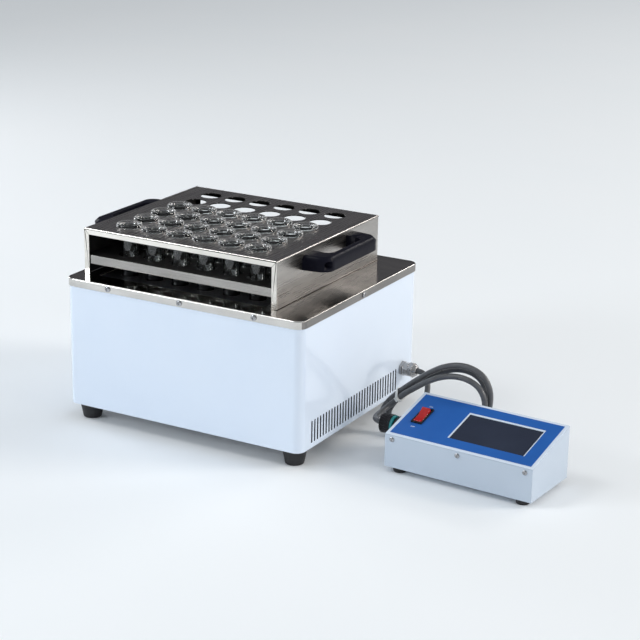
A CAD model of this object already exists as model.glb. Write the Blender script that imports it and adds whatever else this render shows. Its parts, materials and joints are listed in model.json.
"""Block digester with a lift-out tube rack and a control box on a coiled lead."""

import math

import bmesh
import bpy
from mathutils import Matrix, Vector
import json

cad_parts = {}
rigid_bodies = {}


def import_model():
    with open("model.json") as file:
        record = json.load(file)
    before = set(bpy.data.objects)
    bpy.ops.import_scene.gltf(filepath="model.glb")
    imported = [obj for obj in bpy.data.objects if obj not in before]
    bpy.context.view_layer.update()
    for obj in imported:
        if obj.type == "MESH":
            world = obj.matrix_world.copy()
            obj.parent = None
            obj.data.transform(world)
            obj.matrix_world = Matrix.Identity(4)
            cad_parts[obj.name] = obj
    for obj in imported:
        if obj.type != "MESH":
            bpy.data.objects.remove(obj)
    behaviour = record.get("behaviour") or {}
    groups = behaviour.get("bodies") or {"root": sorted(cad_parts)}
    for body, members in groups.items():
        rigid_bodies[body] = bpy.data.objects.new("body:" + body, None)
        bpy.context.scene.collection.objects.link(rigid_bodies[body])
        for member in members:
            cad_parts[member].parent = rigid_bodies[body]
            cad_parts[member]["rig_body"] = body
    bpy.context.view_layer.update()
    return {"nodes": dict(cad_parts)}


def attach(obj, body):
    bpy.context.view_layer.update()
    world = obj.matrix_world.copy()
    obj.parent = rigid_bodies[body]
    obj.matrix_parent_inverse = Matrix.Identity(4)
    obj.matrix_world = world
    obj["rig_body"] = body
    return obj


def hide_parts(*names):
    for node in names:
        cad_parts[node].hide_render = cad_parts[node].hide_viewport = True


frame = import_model()
nodes = frame["nodes"]

# ---- Camera ----
# It stands to the front right of the bench and looks down on it through a long lens. Its place
# is measured from the middle of the housing, at the level of the bench.
housing_at = Vector((-0.1334, -0.00065, 0.0))
camera_data = bpy.data.cameras.new("camera")
camera_data.sensor_width = 36.0
camera_data.lens = 105.14
camera_data.clip_end = 50.0
camera = bpy.data.objects.new("camera", camera_data)
bpy.context.scene.collection.objects.link(camera)
bpy.context.scene.camera = camera
bpy.context.scene.view_settings.view_transform = "Standard"
camera_turn = math.radians(29.370)
camera_tip = math.radians(18.092)
camera_roll = math.radians(0.964)
sight = Vector((
    -math.sin(camera_turn) * math.cos(camera_tip),
    math.cos(camera_turn) * math.cos(camera_tip),
    -math.sin(camera_tip),
))
level = Vector((math.cos(camera_turn), math.sin(camera_turn), 0.0))
upright = level.cross(sight)
frame_right = level * math.cos(camera_roll) + upright * math.sin(camera_roll)
frame_up = upright * math.cos(camera_roll) - level * math.sin(camera_roll)
camera.matrix_world = (
    Matrix.Translation(housing_at + Vector((1.22468, -1.975878, 0.882665)))
    @ Matrix((frame_right, frame_up, -sight)).transposed().to_4x4()
)

# ---- Lead ----
# The flexible control lead leaves the gland, drops to the bench, stands behind the control box as
# a coil of nearly three turns, and comes round into the back of the round plug.
# The control box stands a little askew on the same bench, joined to the housing by this lead only.
box_at = housing_at + Vector((0.259, -0.0944, 0.0))
box_turn = math.radians(-3.4)
box_across = Vector((math.cos(box_turn), math.sin(box_turn), 0.0))
box_back = Vector((-math.sin(box_turn), math.cos(box_turn), 0.0))


def at_box(across, back, up):
    """A point measured from the bench under the control box's left front corner."""
    return box_at + box_across * across + box_back * back + Vector((0.0, 0.0, up))


lead_thick = 0.0075
gland_at = Vector((0.1737, 0.115, 0.054))
gland_run = (0.1657, 0.1817, 0.1977)
plug_axis = Vector((0.0, 0.040, 0.045))
plug_grip = 0.009
clamp_end = 0.029
coil_mid = 0.004
coil_back = 0.122
coil_pitch = 0.00043
coil_last = 57
lead_down = [
    (0.206, 0.1143, 0.0524), (0.213, 0.111, 0.0468), (0.217, 0.106, 0.0385),
    (0.2185, 0.1005, 0.028), (0.219, 0.0935, 0.018), (0.220, 0.084, 0.0095),
    (0.222, 0.072, 0.0048), (0.225, 0.0585, 0.004), (0.231, 0.046, 0.004),
    (0.2415, 0.036, 0.004), (0.254, 0.030, 0.004),
]
coil_turn = [
    (-0.021, 0.004), (-0.001, 0.004), (0.019, 0.006), (0.038, 0.012), (0.055, 0.022),
    (0.069, 0.036), (0.079, 0.053), (0.084, 0.072), (0.0825, 0.091), (0.0725, 0.106),
    (0.055, 0.113), (0.0355, 0.1125), (0.0165, 0.106), (-0.0005, 0.096), (-0.0165, 0.084),
    (-0.032, 0.0715), (-0.0465, 0.0585), (-0.060, 0.044), (-0.067, 0.028),
    (-0.0605, 0.0135), (-0.0435, 0.0052),
]
# The first turn is narrow, the second is the largest, and the third is the lowest.
coil_steps = [0, 12, 24, 40, 47, 63]
coil_wide = [0.88, 0.88, 1.0, 1.0, 0.97, 0.97]
coil_tall = [0.92, 0.92, 1.0, 1.0, 0.89, 0.89]
lead_round = [
    (-0.0405, 0.0965, 0.055), (-0.0475, 0.090, 0.0475), (-0.050, 0.079, 0.0435),
    (-0.049, 0.067, 0.043), (-0.0455, 0.055, 0.0442), (-0.041, 0.0455, 0.045),
    (-0.0345, 0.041, 0.045),
]


def between(step, steps, sizes):
    """The size at a step, on straight lines between the listed ones."""
    for low in range(len(steps) - 1):
        if step <= steps[low + 1]:
            part = (step - steps[low]) / (steps[low + 1] - steps[low])
            return sizes[low] + (sizes[low + 1] - sizes[low]) * part
    return sizes[-1]


def coil_point(step):
    """A point of the coil, whose turns come forward a little at every step."""
    wide, tall = coil_turn[step % len(coil_turn)]
    return at_box(
        coil_mid + (wide - coil_mid) * between(step, coil_steps, coil_wide),
        coil_back - step * coil_pitch,
        coil_mid + (tall - coil_mid) * between(step, coil_steps, coil_tall),
    )


lead_route = [housing_at + Vector((x, gland_at.y, gland_at.z)) for x in gland_run]
lead_route += [housing_at + Vector(point) for point in lead_down]
lead_route += [coil_point(step) for step in range(1, coil_last + 1)]
lead_route += [at_box(*point) for point in lead_round]
lead_route += [at_box(-x, plug_axis.y, plug_axis.z) for x in (clamp_end, clamp_end - plug_grip)]

lead_curve = bpy.data.curves.new("lead_jacket", "CURVE")
lead_curve.dimensions = "3D"
lead_curve.bevel_depth = lead_thick / 2
lead_curve.bevel_resolution = 6
lead_curve.resolution_u = 6
lead_curve.use_fill_caps = True
lead_spline = lead_curve.splines.new("BEZIER")
lead_spline.bezier_points.add(len(lead_route) - 1)
for i, point in enumerate(lead_route):
    before = lead_route[max(i - 1, 0)]
    after = lead_route[min(i + 1, len(lead_route) - 1)]
    knot = lead_spline.bezier_points[i]
    knot.handle_left_type = "FREE"
    knot.handle_right_type = "FREE"
    knot.co = point
    knot.handle_left = point - (after - before) / 6
    knot.handle_right = point + (after - before) / 6
lead = bpy.data.objects.new("lead_jacket", lead_curve)
bpy.context.scene.collection.objects.link(lead)


def new_finish(name, colour, roughness, metallic=0.0):
    """A material with its shader, its node tree and the Object coordinates that patterns read."""
    material = bpy.data.materials.new(name)
    material.use_nodes = True
    tree = material.node_tree
    shader = tree.nodes["Principled BSDF"]
    shader.inputs["Base Color"].default_value = (*colour, 1.0)
    shader.inputs["Roughness"].default_value = roughness
    shader.inputs["Metallic"].default_value = metallic
    place = tree.nodes.new("ShaderNodeTexCoord")
    return material, tree, shader, place.outputs["Object"]


def add_grain(tree, coords, scale, detail=2.0, stretch=(1.0, 1.0, 1.0)):
    """Noise of so many grains to the metre, drawn out along an axis by a small stretch there."""
    mapping = tree.nodes.new("ShaderNodeMapping")
    mapping.inputs["Scale"].default_value = stretch
    grain = tree.nodes.new("ShaderNodeTexNoise")
    grain.inputs["Scale"].default_value = scale
    grain.inputs["Detail"].default_value = detail
    tree.links.new(coords, mapping.inputs["Vector"])
    tree.links.new(mapping.outputs["Vector"], grain.inputs["Vector"])
    return grain.outputs["Fac"]


def vary(tree, grain, socket, low, high, from_low=0.3, from_high=0.7):
    """Lets a grain move a shader's number, or its colour, between two ends."""
    if isinstance(low, tuple):
        ramp = tree.nodes.new("ShaderNodeValToRGB")
        ramp.color_ramp.elements[0].position = from_low
        ramp.color_ramp.elements[0].color = (*low, 1.0)
        ramp.color_ramp.elements[1].position = from_high
        ramp.color_ramp.elements[1].color = (*high, 1.0)
        tree.links.new(grain, ramp.inputs["Fac"])
        tree.links.new(ramp.outputs["Color"], socket)
    else:
        reach = tree.nodes.new("ShaderNodeMapRange")
        reach.inputs["From Min"].default_value = from_low
        reach.inputs["From Max"].default_value = from_high
        reach.inputs["To Min"].default_value = low
        reach.inputs["To Max"].default_value = high
        tree.links.new(grain, reach.inputs["Value"])
        tree.links.new(reach.outputs["Result"], socket)


def roughen(tree, grain, shader, depth, strength=1.0):
    """Raises a grain as a bump of so many metres."""
    bump = tree.nodes.new("ShaderNodeBump")
    bump.inputs["Strength"].default_value = strength
    bump.inputs["Distance"].default_value = depth
    tree.links.new(grain, bump.inputs["Height"])
    tree.links.new(bump.outputs["Normal"], shader.inputs["Normal"])


lead_finish, tree, shader, coords = new_finish("lead_jacket", (0.090, 0.092, 0.096), 0.30)
vary(tree, add_grain(tree, coords, 90.0), shader.inputs["Base Color"],
     (0.080, 0.082, 0.087), (0.108, 0.110, 0.115))
vary(tree, add_grain(tree, coords, 160.0, 3.0), shader.inputs["Roughness"], 0.26, 0.40)
roughen(tree, add_grain(tree, coords, 1400.0), shader, 0.00006, 0.4)
lead_curve.materials.append(lead_finish)
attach(lead, "main_unit")
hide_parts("lead")

# ---- Housing wall ----
# One folded sheet of 1.2 mm steel with round upright corners, slotted on the right for air.
# Its gloss powder coat is a cool white outside; inside only the dark grey primer shows.


def joined_skin(node):
    """A cut part's own faces as one skin, with the spare edges across its flats taken out."""
    shape = bmesh.new()
    shape.from_mesh(nodes[node].data)
    bmesh.ops.remove_doubles(shape, verts=shape.verts, dist=0.000004)
    bmesh.ops.dissolve_limit(shape, angle_limit=math.radians(0.5), verts=shape.verts,
                             edges=shape.edges)
    bmesh.ops.connect_verts_concave(shape, faces=shape.faces)
    return shape


def roll_edges(shape, width, steps, chosen):
    """Rolls those sharp edges whose two ends pass a test over a radius."""
    sharp = [edge for edge in shape.edges
             if len(edge.link_faces) == 2 and edge.calc_face_angle(0.0) > math.radians(20.0)
             and all(chosen(vert.co) for vert in edge.verts)]
    bmesh.ops.bevel(shape, geom=sharp, offset=width, offset_type="OFFSET", segments=steps,
                    profile=0.5, affect="EDGES", clamp_overlap=False, loop_slide=False,
                    material=-1)
    bmesh.ops.connect_verts_concave(shape, faces=shape.faces)


def finished(shape, name, body, finishes, edge=0.0, steps=2):
    """Makes a smooth piece of a shape, breaks its sharp edges if asked, and rides it on a body."""
    sharp_from = math.radians(32.0)
    mesh = bpy.data.meshes.new(name)
    shape.to_mesh(mesh)
    shape.free()
    mesh.shade_smooth()
    for finish in finishes:
        mesh.materials.append(finish)
    piece = bpy.data.objects.new(name, mesh)
    bpy.context.scene.collection.objects.link(piece)
    if edge:
        bevel = piece.modifiers.new("edge", "BEVEL")
        bevel.width = edge
        bevel.segments = steps
        bevel.limit_method = "ANGLE"
        bevel.angle_limit = sharp_from
        bevel.use_clamp_overlap = False
        bevel.loop_slide = False
    else:
        mesh.set_sharp_from_angle(angle=sharp_from)
    shading = piece.modifiers.new("flats", "WEIGHTED_NORMAL")
    shading.weight = 100
    shading.keep_sharp = True
    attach(piece, body)
    return piece


def soft_edges(node, name, width, finish, steps=2):
    """A cut part as it is, with every sharp edge broken by a small radius."""
    piece = finished(joined_skin(node), name, nodes[node]["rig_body"], [finish], width, steps)
    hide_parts(node)
    return piece


def face_finish(shape, choose):
    """Gives each face the number of its finish, chosen by the way it looks and where it is."""
    shape.normal_update()
    for face in shape.faces:
        face.material_index = choose(face.normal, face.calc_center_median())


coat_white, tree, shader, coords = new_finish("coat_white", (0.74, 0.825, 0.945), 0.20)
vary(tree, add_grain(tree, coords, 14.0, 3.0), shader.inputs["Base Color"],
     (0.73, 0.817, 0.94), (0.75, 0.833, 0.95))
roughen(tree, add_grain(tree, coords, 700.0), shader, 0.00004, 0.25)
shader.inputs["Coat Weight"].default_value = 0.5
shader.inputs["Coat Roughness"].default_value = 0.08
primer, tree, shader, coords = new_finish("primer_grey", (0.050, 0.053, 0.058), 0.6)
vary(tree, add_grain(tree, coords, 40.0, 3.0), shader.inputs["Base Color"],
     (0.042, 0.045, 0.050), (0.060, 0.063, 0.068))
wall_half = Vector((0.172, 0.1505))
wall_sheet = 0.0012
wall_edge = 0.0013
wall_round = 0.012
coated, primed = range(2)


def wall_side(facing, spot):
    """Coated outside, primed inside and on the cut edges of the two side walls."""
    out = spot - housing_at
    beside = abs(out.y) < wall_half.y - wall_round
    if abs(facing.z) > 0.75:
        return primed if beside and abs(out.x) > wall_half.x - wall_edge else coated
    if beside and abs(out.x) > wall_half.x - wall_sheet and abs(facing.x) < 0.3:
        return primed
    return coated if out.x * facing.x + out.y * facing.y > 0.0 else primed


housing_skin = joined_skin("housing_shell")
face_finish(housing_skin, wall_side)
housing_wall = finished(housing_skin, "housing_wall", "main_unit",
                        [coat_white, primer], 0.0003)
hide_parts("housing_shell")

# ---- Floor plate ----
# A zinc-plated tray of 1.2 mm sheet that closes the housing below. Its upturned rim is spotted
# to the wall.
zinc, tree, shader, coords = new_finish("zinc_plate", (0.55, 0.56, 0.58), 0.45, 1.0)
vary(tree, add_grain(tree, coords, 60.0, 4.0), shader.inputs["Base Color"],
     (0.46, 0.47, 0.49), (0.62, 0.63, 0.65))
vary(tree, add_grain(tree, coords, 25.0), shader.inputs["Roughness"], 0.36, 0.55)
soft_edges("base_plate", "floor_plate", 0.0003, zinc)

# ---- Top cover ----
# Brushed stainless, folded down into a skirt all round and screwed through it to the wall.
# A square opening leaves the well block's face free.


def brushed(name, colour, along, roughness=(0.22, 0.34), metal=1.0, sheen=0.5):
    """Sheet brushed along one axis: fine scratches, and bands where the belt bit.

    With metal at nought and next to no sheen it gives the near-black of the rack's inner faces.
    """
    finish, tree, shader, coords = new_finish(name, colour, 0.26, metal)
    stretch = [1.0, 1.0, 1.0]
    stretch[along] = 0.02
    lines = add_grain(tree, coords, 900.0, 3.0, tuple(stretch))
    stretch[along] = 0.25
    bands = add_grain(tree, coords, 55.0, 3.0, tuple(stretch))
    vary(tree, bands, shader.inputs["Base Color"], tuple(c * 0.84 for c in colour),
         tuple(min(1.0, c * 1.10) for c in colour))
    vary(tree, lines, shader.inputs["Roughness"], roughness[0], roughness[1])
    shader.inputs["Specular IOR Level"].default_value = sheen
    roughen(tree, lines, shader, 0.00002, 0.06)
    return finish


steel_across = brushed("steel_across", (0.50, 0.465, 0.435), 0, (0.07, 0.15))
steel_edge = brushed("steel_edge", (0.62, 0.60, 0.572), 0, (0.14, 0.24))
steel_side = brushed("steel_side", (0.27, 0.256, 0.244), 1, (0.26, 0.38))
cover_top = 0.1915
cover_half = Vector((0.175, 0.1535))
rim_share = 0.90
touch = 0.0001
flat_top, front_and_back, two_sides = range(3)


def on_cover_rim(spot):
    """The fold between top and skirt, and not the edge of the opening."""
    across = abs(spot.x - housing_at.x) / cover_half.x
    along = abs(spot.y - housing_at.y) / cover_half.y
    return spot.z > cover_top - touch and max(across, along) > rim_share


def cover_side(facing, spot):
    """The top, the skirt's front and back, and its two sides are brushed each in its own way."""
    if facing.z > 0.95:
        return flat_top
    return two_sides if abs(facing.x) > 0.75 else front_and_back


cover = joined_skin("top_cover")
roll_edges(cover, 0.0016, 4, on_cover_rim)
face_finish(cover, cover_side)
cover_piece = finished(cover, "cover_sheet", "main_unit",
                       [steel_across, steel_edge, steel_side], 0.0002)
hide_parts("top_cover")

# ---- Screws of the housing ----
# Bright zinc-plated pan heads with a cross recess. Eight hold the cover's skirt, four the feet
# and two the mains inlet.
screw_bright, tree, shader, coords = new_finish("screw_bright", (0.40, 0.40, 0.41), 0.08, 1.0)
vary(tree, add_grain(tree, coords, 400.0), shader.inputs["Roughness"], 0.05, 0.12)
soft_edges("housing_screws", "housing_screw_set", 0.0002, screw_bright)

# ---- Rubber feet ----
# Four tapered feet of black rubber, moulded with a soft edge. A screw sunk in a pocket from below
# holds each of them to the floor plate.
rubber, tree, shader, coords = new_finish("foot_rubber", (0.012, 0.012, 0.014), 0.5)
vary(tree, add_grain(tree, coords, 120.0), shader.inputs["Roughness"], 0.40, 0.62)
roughen(tree, add_grain(tree, coords, 2200.0), shader, 0.00008, 0.4)
soft_edges("housing_feet", "housing_foot_set", 0.0012, rubber, 3)

# ---- Well block ----
# A solid aluminium block, hard anodised black, with six rows of six wells bored through it. It
# stands on the heater plate, in the square opening of the cover.
block_at = housing_at + Vector((-0.0183, 0.001, 0.0))
well_pitch = 0.0384
anodised, tree, shader, coords = new_finish("block_anodised", (0.030, 0.031, 0.034), 0.38, 0.6)
vary(tree, add_grain(tree, coords, 300.0, 3.0), shader.inputs["Roughness"], 0.30, 0.48)
roughen(tree, add_grain(tree, coords, 1800.0), shader, 0.00004, 0.3)
soft_edges("heating_block", "well_block", 0.0006, anodised)

# ---- Heater, jacket, tray and posts ----
# A mica-clad heater plate under the block, a pressed fibre jacket around both in a sheet tray,
# and four turned brass posts that carry the tray above the floor plate.
heater_steel, tree, shader, coords = new_finish("heater_steel", (0.40, 0.37, 0.33), 0.4, 1.0)
vary(tree, add_grain(tree, coords, 40.0, 4.0), shader.inputs["Base Color"],
     (0.30, 0.26, 0.22), (0.48, 0.44, 0.40))
soft_edges("heater_plate", "heater_sheet", 0.0004, heater_steel)
fibre, tree, shader, coords = new_finish("jacket_fibre", (0.78, 0.74, 0.66), 0.95)
vary(tree, add_grain(tree, coords, 350.0, 5.0, (1.0, 1.0, 4.0)), shader.inputs["Base Color"],
     (0.68, 0.64, 0.56), (0.84, 0.80, 0.73))
roughen(tree, add_grain(tree, coords, 500.0, 4.0), shader, 0.0004, 0.6)
soft_edges("block_insulation", "fibre_jacket", 0.001, fibre)
soft_edges("block_tray", "jacket_tray", 0.0003, zinc)
brass, tree, shader, coords = new_finish("post_brass", (0.75, 0.55, 0.22), 0.25, 1.0)
vary(tree, add_grain(tree, coords, 500.0, 2.0, (1.0, 1.0, 8.0)), shader.inputs["Roughness"],
     0.18, 0.36)
soft_edges("block_posts", "brass_posts", 0.0004, brass)

# ---- Probe, over-temperature switch and relay ----
# The probe sits in its bore from the right, the switch lies on the block's side, and the relay
# stands on the floor plate in the bay on the right.
moulded, tree, shader, coords = new_finish("moulded_black", (0.006, 0.006, 0.008), 0.34)
shader.inputs["Specular IOR Level"].default_value = 0.25
vary(tree, add_grain(tree, coords, 150.0, 3.0), shader.inputs["Roughness"], 0.28, 0.42)
roughen(tree, add_grain(tree, coords, 2600.0), shader, 0.00003, 0.35)
soft_edges("temperature_probe", "probe_sheath", 0.0003, heater_steel)
soft_edges("thermal_cutout", "heat_switch", 0.0004, moulded)
soft_edges("solid_state_relay", "relay_case", 0.0008, moulded)

# ---- Mains inlet ----
# A black moulded three-pin inlet, its mouth open to the rear and its pins of one piece with it.
# Its flange is held on the rear wall by two screws.
soft_edges("mains_inlet", "inlet_moulding", 0.0005, moulded)

# ---- Cable gland ----
# Nickel-plated brass: a hexagon body through the wall with its nut inside, and a domed cap that
# squeezes a rubber sleeve on the lead.
plated, tree, shader, coords = new_finish("plated_brass", (0.42, 0.41, 0.405), 0.10, 1.0)
vary(tree, add_grain(tree, coords, 220.0, 3.0), shader.inputs["Roughness"], 0.07, 0.16)
soft_edges("gland_body", "gland_hexagon", 0.0005, plated)
soft_edges("gland_cap", "gland_dome", 0.0007, plated, 3)
soft_edges("gland_locknut", "gland_nut", 0.0004, plated)

# ---- Rack ----
# One sheet of 1.5 mm stainless folded over two sides, with mitred lips round the front, and a
# folded shelf spotted between its walls. Both are punched with the block's pattern of holes.
rack_half = Vector((0.1432, 0.1295))
rack_top = 0.2530
plate_from = 0.245
skin_depth = 0.0008
shelf_lip_depth = 0.004


def on_rack_outline(spot):
    """The outer corners of the front and the back, and the fold above them."""
    if abs(spot.y - block_at.y) <= rack_half.y - touch:
        return False
    return abs(spot.x - block_at.x) > rack_half.x - touch or spot.z > rack_top - touch


rack_frame = joined_skin("rack_frame")
roll_edges(rack_frame, 0.0012, 3, on_rack_outline)
steel_back = brushed("steel_back", (0.50, 0.468, 0.448), 1)
steel_wall = brushed("steel_wall", (0.42, 0.40, 0.38), 1, (0.24, 0.36))
steel_lip = brushed("steel_lip", (0.76, 0.725, 0.67), 0, (0.12, 0.22))
steel_shelf = brushed("steel_shelf", (0.36, 0.345, 0.325), 0, (0.18, 0.30))
steel_inside = brushed("steel_inside", (0.020, 0.019, 0.018), 0, (0.34, 0.46), 0.0, 0.03)


# The faces that look inwards are given a near-black finish in place of bright steel, so that the
# bay between the sheets stays dark.
plate, wall, lip, inner = range(4)
shelf_front, shelf_rest = range(2)


def rack_side(facing, spot):
    """The plate, the walls and the lips outside, and every face that looks inwards."""
    out = spot - block_at
    if abs(facing.x) > 0.75:
        outer = out.x * facing.x > 0.0 and abs(out.x) > rack_half.x - skin_depth
        return wall if outer else inner
    if abs(facing.y) > 0.75:
        outer = out.y * facing.y > 0.0 and abs(out.y) > rack_half.y - skin_depth
        return lip if outer else inner
    if abs(facing.z) > 0.75:
        return plate if facing.z > 0.0 and spot.z > plate_from else inner
    return wall if abs(facing.x) > 0.3 else lip


def shelf_side(facing, spot):
    """The shelf's front and back lips, and the rest of it."""
    on_lip = abs(spot.y - block_at.y) > rack_half.y - shelf_lip_depth
    return shelf_front if abs(facing.y) > 0.75 and on_lip else shelf_rest


face_finish(rack_frame, rack_side)
rack_piece = finished(rack_frame, "rack_sheet", "rack",
                      [steel_back, steel_wall, steel_lip, steel_inside], 0.0002)
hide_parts("rack_frame")
rack_shelf = joined_skin("rack_shelf")
face_finish(rack_shelf, shelf_side)
shelf_piece = finished(rack_shelf, "rack_shelf_sheet", "rack",
                       [steel_shelf, steel_inside], 0.0003)
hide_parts("rack_shelf")

# ---- Handles ----
# Black moulded bridge handles, each held by two sunk socket-head screws with nuts inside. Only
# their upper and lower edges are rolled: breaking the rest pulls a point out past the grip.
grip_black, tree, shader, coords = new_finish("grip_black", (0.006, 0.006, 0.012), 0.34)
shader.inputs["Specular IOR Level"].default_value = 0.08
vary(tree, add_grain(tree, coords, 130.0, 3.0), shader.inputs["Roughness"], 0.28, 0.42)
roughen(tree, add_grain(tree, coords, 2400.0), shader, 0.00003, 0.3)
grip_middle = 0.2368
grip_edge = 0.0092
for side, node in ((-1, "handle_left"), (1, "handle_right")):
    handle = joined_skin(node)
    seat = block_at.x + side * rack_half.x
    roll_edges(handle, 0.0016, 4, lambda spot: abs(spot.x - seat) > touch
               and abs(spot.z - grip_middle) > grip_edge)
    grip = finished(handle, node + "_grip", "rack", [grip_black])
    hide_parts(node)
screw_black, tree, shader, coords = new_finish("screw_black_oxide", (0.030, 0.030, 0.032), 0.2, 0.8)
vary(tree, add_grain(tree, coords, 500.0), shader.inputs["Roughness"], 0.14, 0.28)
soft_edges("handle_screws", "handle_screw_set", 0.0002, screw_black)

# ---- Glass tubes ----
# Borosilicate digestion tubes with a round bottom and a thick rolled rim that hangs on the rack.
# The rims turn milky where they are seen edge on; the tubes below stay clear.


def clear_glass(name, colour, low, high):
    """Clear glass with a faint tint that drifts between two colours."""
    glass, tree, shader, coords = new_finish(name, colour, 0.0)
    shader.inputs["Transmission Weight"].default_value = 1.0
    shader.inputs["IOR"].default_value = 1.47
    vary(tree, add_grain(tree, coords, 60.0, 1.0), shader.inputs["Base Color"], low, high)
    return glass, tree, shader


rim_glass, tree, shader = clear_glass("tube_rim_glass", (0.975, 0.99, 0.985),
                                      (0.965, 0.985, 0.978), (0.985, 0.995, 0.992))
glancing = tree.nodes.new("ShaderNodeLayerWeight")
glancing.inputs["Blend"].default_value = 0.5
vary(tree, glancing.outputs["Facing"], shader.inputs["Transmission Weight"], 1.0, 0.30, 0.56, 0.92)
body_glass, tree, shader = clear_glass("tube_glass", (0.93, 0.95, 0.945),
                                       (0.92, 0.94, 0.935), (0.94, 0.96, 0.955))
shader.inputs["Specular IOR Level"].default_value = 0.35


def arc(centre, height, radius, first, last, steps):
    """Points round part of a circle, as (distance from the axis, height)."""
    turns = [math.radians(first + (last - first) * i / steps) for i in range(steps + 1)]
    return [(centre + radius * math.cos(turn), height + radius * math.sin(turn)) for turn in turns]


def turned(outline, steps):
    """A shape spun from one side of its cut face, listed from pole to pole or round a ring."""
    shape = bmesh.new()
    points = [shape.verts.new((max(across, 0.0), 0.0, up)) for across, up in outline]
    sides = [shape.edges.new(pair) for pair in zip(points, points[1:])]
    bmesh.ops.spin(shape, geom=points + sides, cent=(0.0, 0.0, 0.0), axis=(0.0, 0.0, 1.0),
                   angle=2.0 * math.pi, steps=steps, use_merge=True)
    bmesh.ops.remove_doubles(shape, verts=shape.verts, dist=0.000002)
    bmesh.ops.recalc_face_normals(shape, faces=shape.faces)
    return shape


tube_radius = 0.0105
tube_bore = 0.0090
tube_foot = 0.11199
bead_at = 0.25552
bead_ring = 0.01413
bead_thick = 0.00246
rim_from = 0.2505
wells_in_row = 6
tube_count = 24
body_part, rim_part = range(2)
# From the neck out to the bead, and from the bead's inside back down to the bore.
flare_out = [(tube_radius, 0.2380), (0.01062, 0.2420), (0.0110, 0.2455), (0.0118, 0.2490),
             (0.0127, 0.2515)]
flare_in = [(0.0110, 0.2555), (0.0106, 0.2535), (0.0101, 0.2505), (0.0096, 0.2465),
            (0.0092, 0.2420), (tube_bore, 0.2370)]
tube_outline = arc(0.0, tube_foot + tube_radius, tube_radius, -90.0, 0.0, 9)
tube_outline += flare_out
tube_outline += arc(bead_ring, bead_at, bead_thick, -100.0, 150.0, 14)
tube_outline += flare_in
tube_outline += arc(0.0, tube_foot + tube_radius, tube_bore, 0.0, -90.0, 9)
for i in range(tube_count):
    column = i % wells_in_row - (wells_in_row - 1) / 2
    row = i // wells_in_row - (wells_in_row - 1) / 2
    tube = turned(tube_outline, 48)
    face_finish(tube, lambda facing, spot: rim_part if spot.z > rim_from else body_part)
    bmesh.ops.translate(tube, verts=tube.verts,
                        vec=block_at + Vector((column * well_pitch, row * well_pitch, 0.0)))
    piece = finished(tube, "glass_tube_%02d" % (i + 1), "tube_%02d_body" % (i + 1),
                     [body_glass, rim_glass])
    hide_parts("tube_%02d" % (i + 1))

# ---- Control box ----
# A folded steel case, its sloping lid screwed on front and back. Its coat is greyer than the
# housing's, and the top of the lid has the housing's own white.
coat_pale, tree, shader, coords = new_finish("coat_pale", (0.52, 0.595, 0.69), 0.24)
vary(tree, add_grain(tree, coords, 20.0, 3.0), shader.inputs["Base Color"],
     (0.51, 0.587, 0.68), (0.53, 0.603, 0.70))
roughen(tree, add_grain(tree, coords, 700.0), shader, 0.00004, 0.25)
soft_edges("controller_box", "control_case", 0.0003, coat_pale)
lid_skin = joined_skin("controller_lid")
lid_flanges, lid_top = range(2)
face_finish(lid_skin, lambda facing, spot: lid_top if facing.z > 0.5 else lid_flanges)
lid_piece = finished(lid_skin, "control_lid", "main_unit",
                     [coat_pale, coat_white], 0.0004)
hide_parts("controller_lid")
soft_edges("controller_feet", "control_foot_set", 0.0008, rubber, 3)
soft_edges("controller_screws", "control_screw_set", 0.0002, screw_bright)
board_green, tree, shader, coords = new_finish("board_green", (0.02, 0.16, 0.06), 0.4)
vary(tree, add_grain(tree, coords, 300.0), shader.inputs["Base Color"],
     (0.016, 0.13, 0.05), (0.03, 0.20, 0.08))
soft_edges("control_board", "circuit_board", 0.0003, board_green)

# ---- Control panel ----
# A printed polyester sheet, satin blue, stuck on the lid inside a white margin. It is cut out
# for the screen and for the switch.
panel_blue, tree, shader, coords = new_finish("panel_blue", (0.019, 0.115, 0.42), 0.42)
shader.inputs["Specular IOR Level"].default_value = 0.22
vary(tree, add_grain(tree, coords, 30.0, 3.0), shader.inputs["Base Color"],
     (0.018, 0.110, 0.405), (0.021, 0.122, 0.435))
roughen(tree, add_grain(tree, coords, 3000.0), shader, 0.00002, 0.3)
soft_edges("control_panel", "panel_sheet", 0.0001, panel_blue)

front_height = 0.0425
back_height = 0.067
box_depth = 0.095
slope_foot = 0.0495
panel_slope = math.atan((back_height - front_height) / box_depth)


def at_panel(across, up, out):
    """A point of the sloping front, from its lower left corner."""
    return at_box(across, up * math.cos(panel_slope) - out * math.sin(panel_slope),
                  slope_foot + up * math.sin(panel_slope) + out * math.cos(panel_slope))


# The switch's two plain marks, printed on the panel in white.
print_white, tree, shader, coords = new_finish("print_white", (0.80, 0.83, 0.86), 0.5)
vary(tree, add_grain(tree, coords, 900.0), shader.inputs["Roughness"], 0.42, 0.58)
marks = bmesh.new()
marks_across = 0.0245
letter_height = 0.0032
ink = 0.00002
print_level = 0.00042
for word, up in (("ON", 0.0705), ("OFF", 0.0245)):
    letters = bpy.data.curves.new(word, "FONT")
    letters.body = word
    letters.size = letter_height
    letters.extrude = ink
    letters.align_x = "CENTER"
    letters.align_y = "CENTER"
    letters.resolution_u = 3
    holder = bpy.data.objects.new(word, letters)
    bpy.context.scene.collection.objects.link(holder)
    flat = bpy.data.meshes.new_from_object(holder)
    origin = at_panel(marks_across, up, print_level)
    flat.transform(Matrix.Translation(origin)
                   @ Matrix.Rotation(box_turn, 4, "Z") @ Matrix.Rotation(panel_slope, 4, "X"))
    marks.from_mesh(flat)
    bpy.data.objects.remove(holder)
    bpy.data.meshes.remove(flat)
finished(marks, "switch_marks", "main_unit", [print_white])

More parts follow.
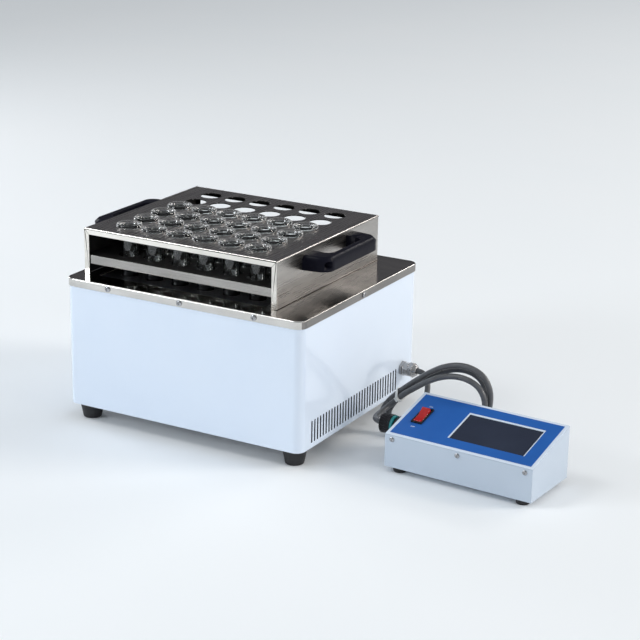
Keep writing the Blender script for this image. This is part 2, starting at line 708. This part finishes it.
# ---- Screen ----
# A touch screen behind the lid's window, its dark glass a little below the panel. Glass and body
# are one block.
screen_dark, tree, shader, coords = new_finish("screen_dark", (0.026, 0.034, 0.058), 0.12)
vary(tree, add_grain(tree, coords, 25.0, 3.0), shader.inputs["Base Color"],
     (0.024, 0.031, 0.053), (0.029, 0.038, 0.064))
soft_edges("touch_screen", "screen_module", 0.0003, screen_dark)

# ---- Rocker switch ----
# A snap-in switch: a black moulded frame in the lid's cut-out, and a translucent red rocker that
# tilts in it on two pins.
soft_edges("rocker_frame", "switch_frame", 0.0004, moulded, 3)
rocker_red, tree, shader, coords = new_finish("rocker_red", (0.58, 0.014, 0.016), 0.18)
shader.inputs["Transmission Weight"].default_value = 0.25
vary(tree, add_grain(tree, coords, 200.0), shader.inputs["Base Color"],
     (0.52, 0.010, 0.012), (0.64, 0.020, 0.020))
soft_edges("rocker_button", "switch_rocker", 0.0006, rocker_red, 3)

# ---- Round connector ----
# A moulded socket with its nut inside the box's left wall, a teal sealing ring, and a ribbed plug
# that takes the end of the lead.
soft_edges("panel_socket", "socket_shell", 0.0006, moulded, 3)
soft_edges("connector_plug", "plug_sleeve", 0.00012, moulded)
teal, tree, shader, coords = new_finish("seal_teal", (0.006, 0.22, 0.23), 0.42)
vary(tree, add_grain(tree, coords, 300.0), shader.inputs["Roughness"], 0.35, 0.5)
soft_edges("seal_ring", "seal_band", 0.0006, teal, 3)

# ---- Cable tie ----
# A strap of natural nylon round the three strands of the coil, moulded in one piece with its lock.
# It holds the strands side by side.
nylon, tree, shader, coords = new_finish("tie_nylon", (0.80, 0.80, 0.78), 0.35)
vary(tree, add_grain(tree, coords, 500.0), shader.inputs["Roughness"], 0.28, 0.45)
soft_edges("cable_tie", "nylon_tie", 0.0003, nylon)

# ---- Bench and light ----
# A plain pale floor under a grey sky and six soft lamps: a key on the right, one behind, one
# overhead, a cool fill at the front left, and a tall narrow one on either side. Level sheets
# mirror a dark patch of the sky towards the camera.
floor_mesh = bpy.data.meshes.new("bench")
floor_shape = bmesh.new()
bmesh.ops.create_grid(floor_shape, x_segments=1, y_segments=1, size=20.0)
floor_shape.to_mesh(floor_mesh)
floor_shape.free()
bench = bpy.data.objects.new("bench", floor_mesh)
bpy.context.scene.collection.objects.link(bench)
bench_finish, tree, shader, coords = new_finish("bench_pale", (0.92, 0.945, 0.965), 0.9)
vary(tree, add_grain(tree, coords, 3.0), shader.inputs["Base Color"],
     (0.915, 0.942, 0.963), (0.925, 0.948, 0.967))
floor_mesh.materials.append(bench_finish)

world = bpy.data.worlds.new("studio")
bpy.context.scene.world = world
world.use_nodes = True
tree = world.node_tree
direction = tree.nodes.new("ShaderNodeTexCoord")
towards = tree.nodes.new("ShaderNodeVectorMath")
towards.operation = "DOT_PRODUCT"
patch_middle = Vector((-0.49, 0.80, 0.34))
towards.inputs[1].default_value = patch_middle.normalized()
# The sky by the cosine of the angle from the patch's middle: grey far from it, dark close to it.
screen = tree.nodes.new("ShaderNodeValToRGB")
screen.color_ramp.elements[0].position = 0.70
screen.color_ramp.elements[0].color = (0.46, 0.485, 0.505, 1.0)
screen.color_ramp.elements[1].position = 0.90
screen.color_ramp.elements[1].color = (0.100, 0.102, 0.112, 1.0)
tree.links.new(direction.outputs["Generated"], towards.inputs[0])
tree.links.new(towards.outputs["Value"], screen.inputs["Fac"])
tree.links.new(screen.outputs["Color"], tree.nodes["Background"].inputs["Color"])
tree.nodes["Background"].inputs["Strength"].default_value = 1.0


def lamp(name, place, aim, size, power, colour):
    """A soft box of so many watts, standing at one point and turned to another."""
    data = bpy.data.lights.new(name, "AREA")
    data.shape = "RECTANGLE"
    data.size = size[0]
    data.size_y = size[1]
    data.energy = power
    data.color = colour
    light = bpy.data.objects.new(name, data)
    bpy.context.scene.collection.objects.link(light)
    away = Vector(place) - Vector(aim)
    turn = away.to_track_quat("Z", "Y").to_matrix().to_4x4()
    light.matrix_world = Matrix.Translation(place) @ turn


lamp("key", (4.1, 2.05, 2.4), (0.0, 0.0, 0.10), (1.6, 1.6), 100.0, (1.0, 0.95, 0.89))
lamp("back", (1.7, 4.5, 2.6), (0.0, 0.0, 0.15), (2.5, 0.6), 45.0, (1.0, 0.97, 0.94))
lamp("fill", (-1.75, -1.9, 1.0), (0.0, 0.0, 0.10), (0.7, 0.7), 19.0, (0.88, 0.94, 1.0))
lamp("overhead", (-1.8, -1.35, 3.2), (-0.1, 0.0, 0.15), (1.2, 1.2), 26.0, (0.96, 0.98, 1.0))
lamp("left", (-2.6, 0.5, 0.7), (-0.15, 0.0, 0.2), (0.5, 1.2), 12.0, (0.97, 0.98, 1.0))
lamp("right", (2.7, -0.5, 0.8), (-0.15, 0.0, 0.2), (0.5, 1.2), 10.0, (1.0, 0.98, 0.96))
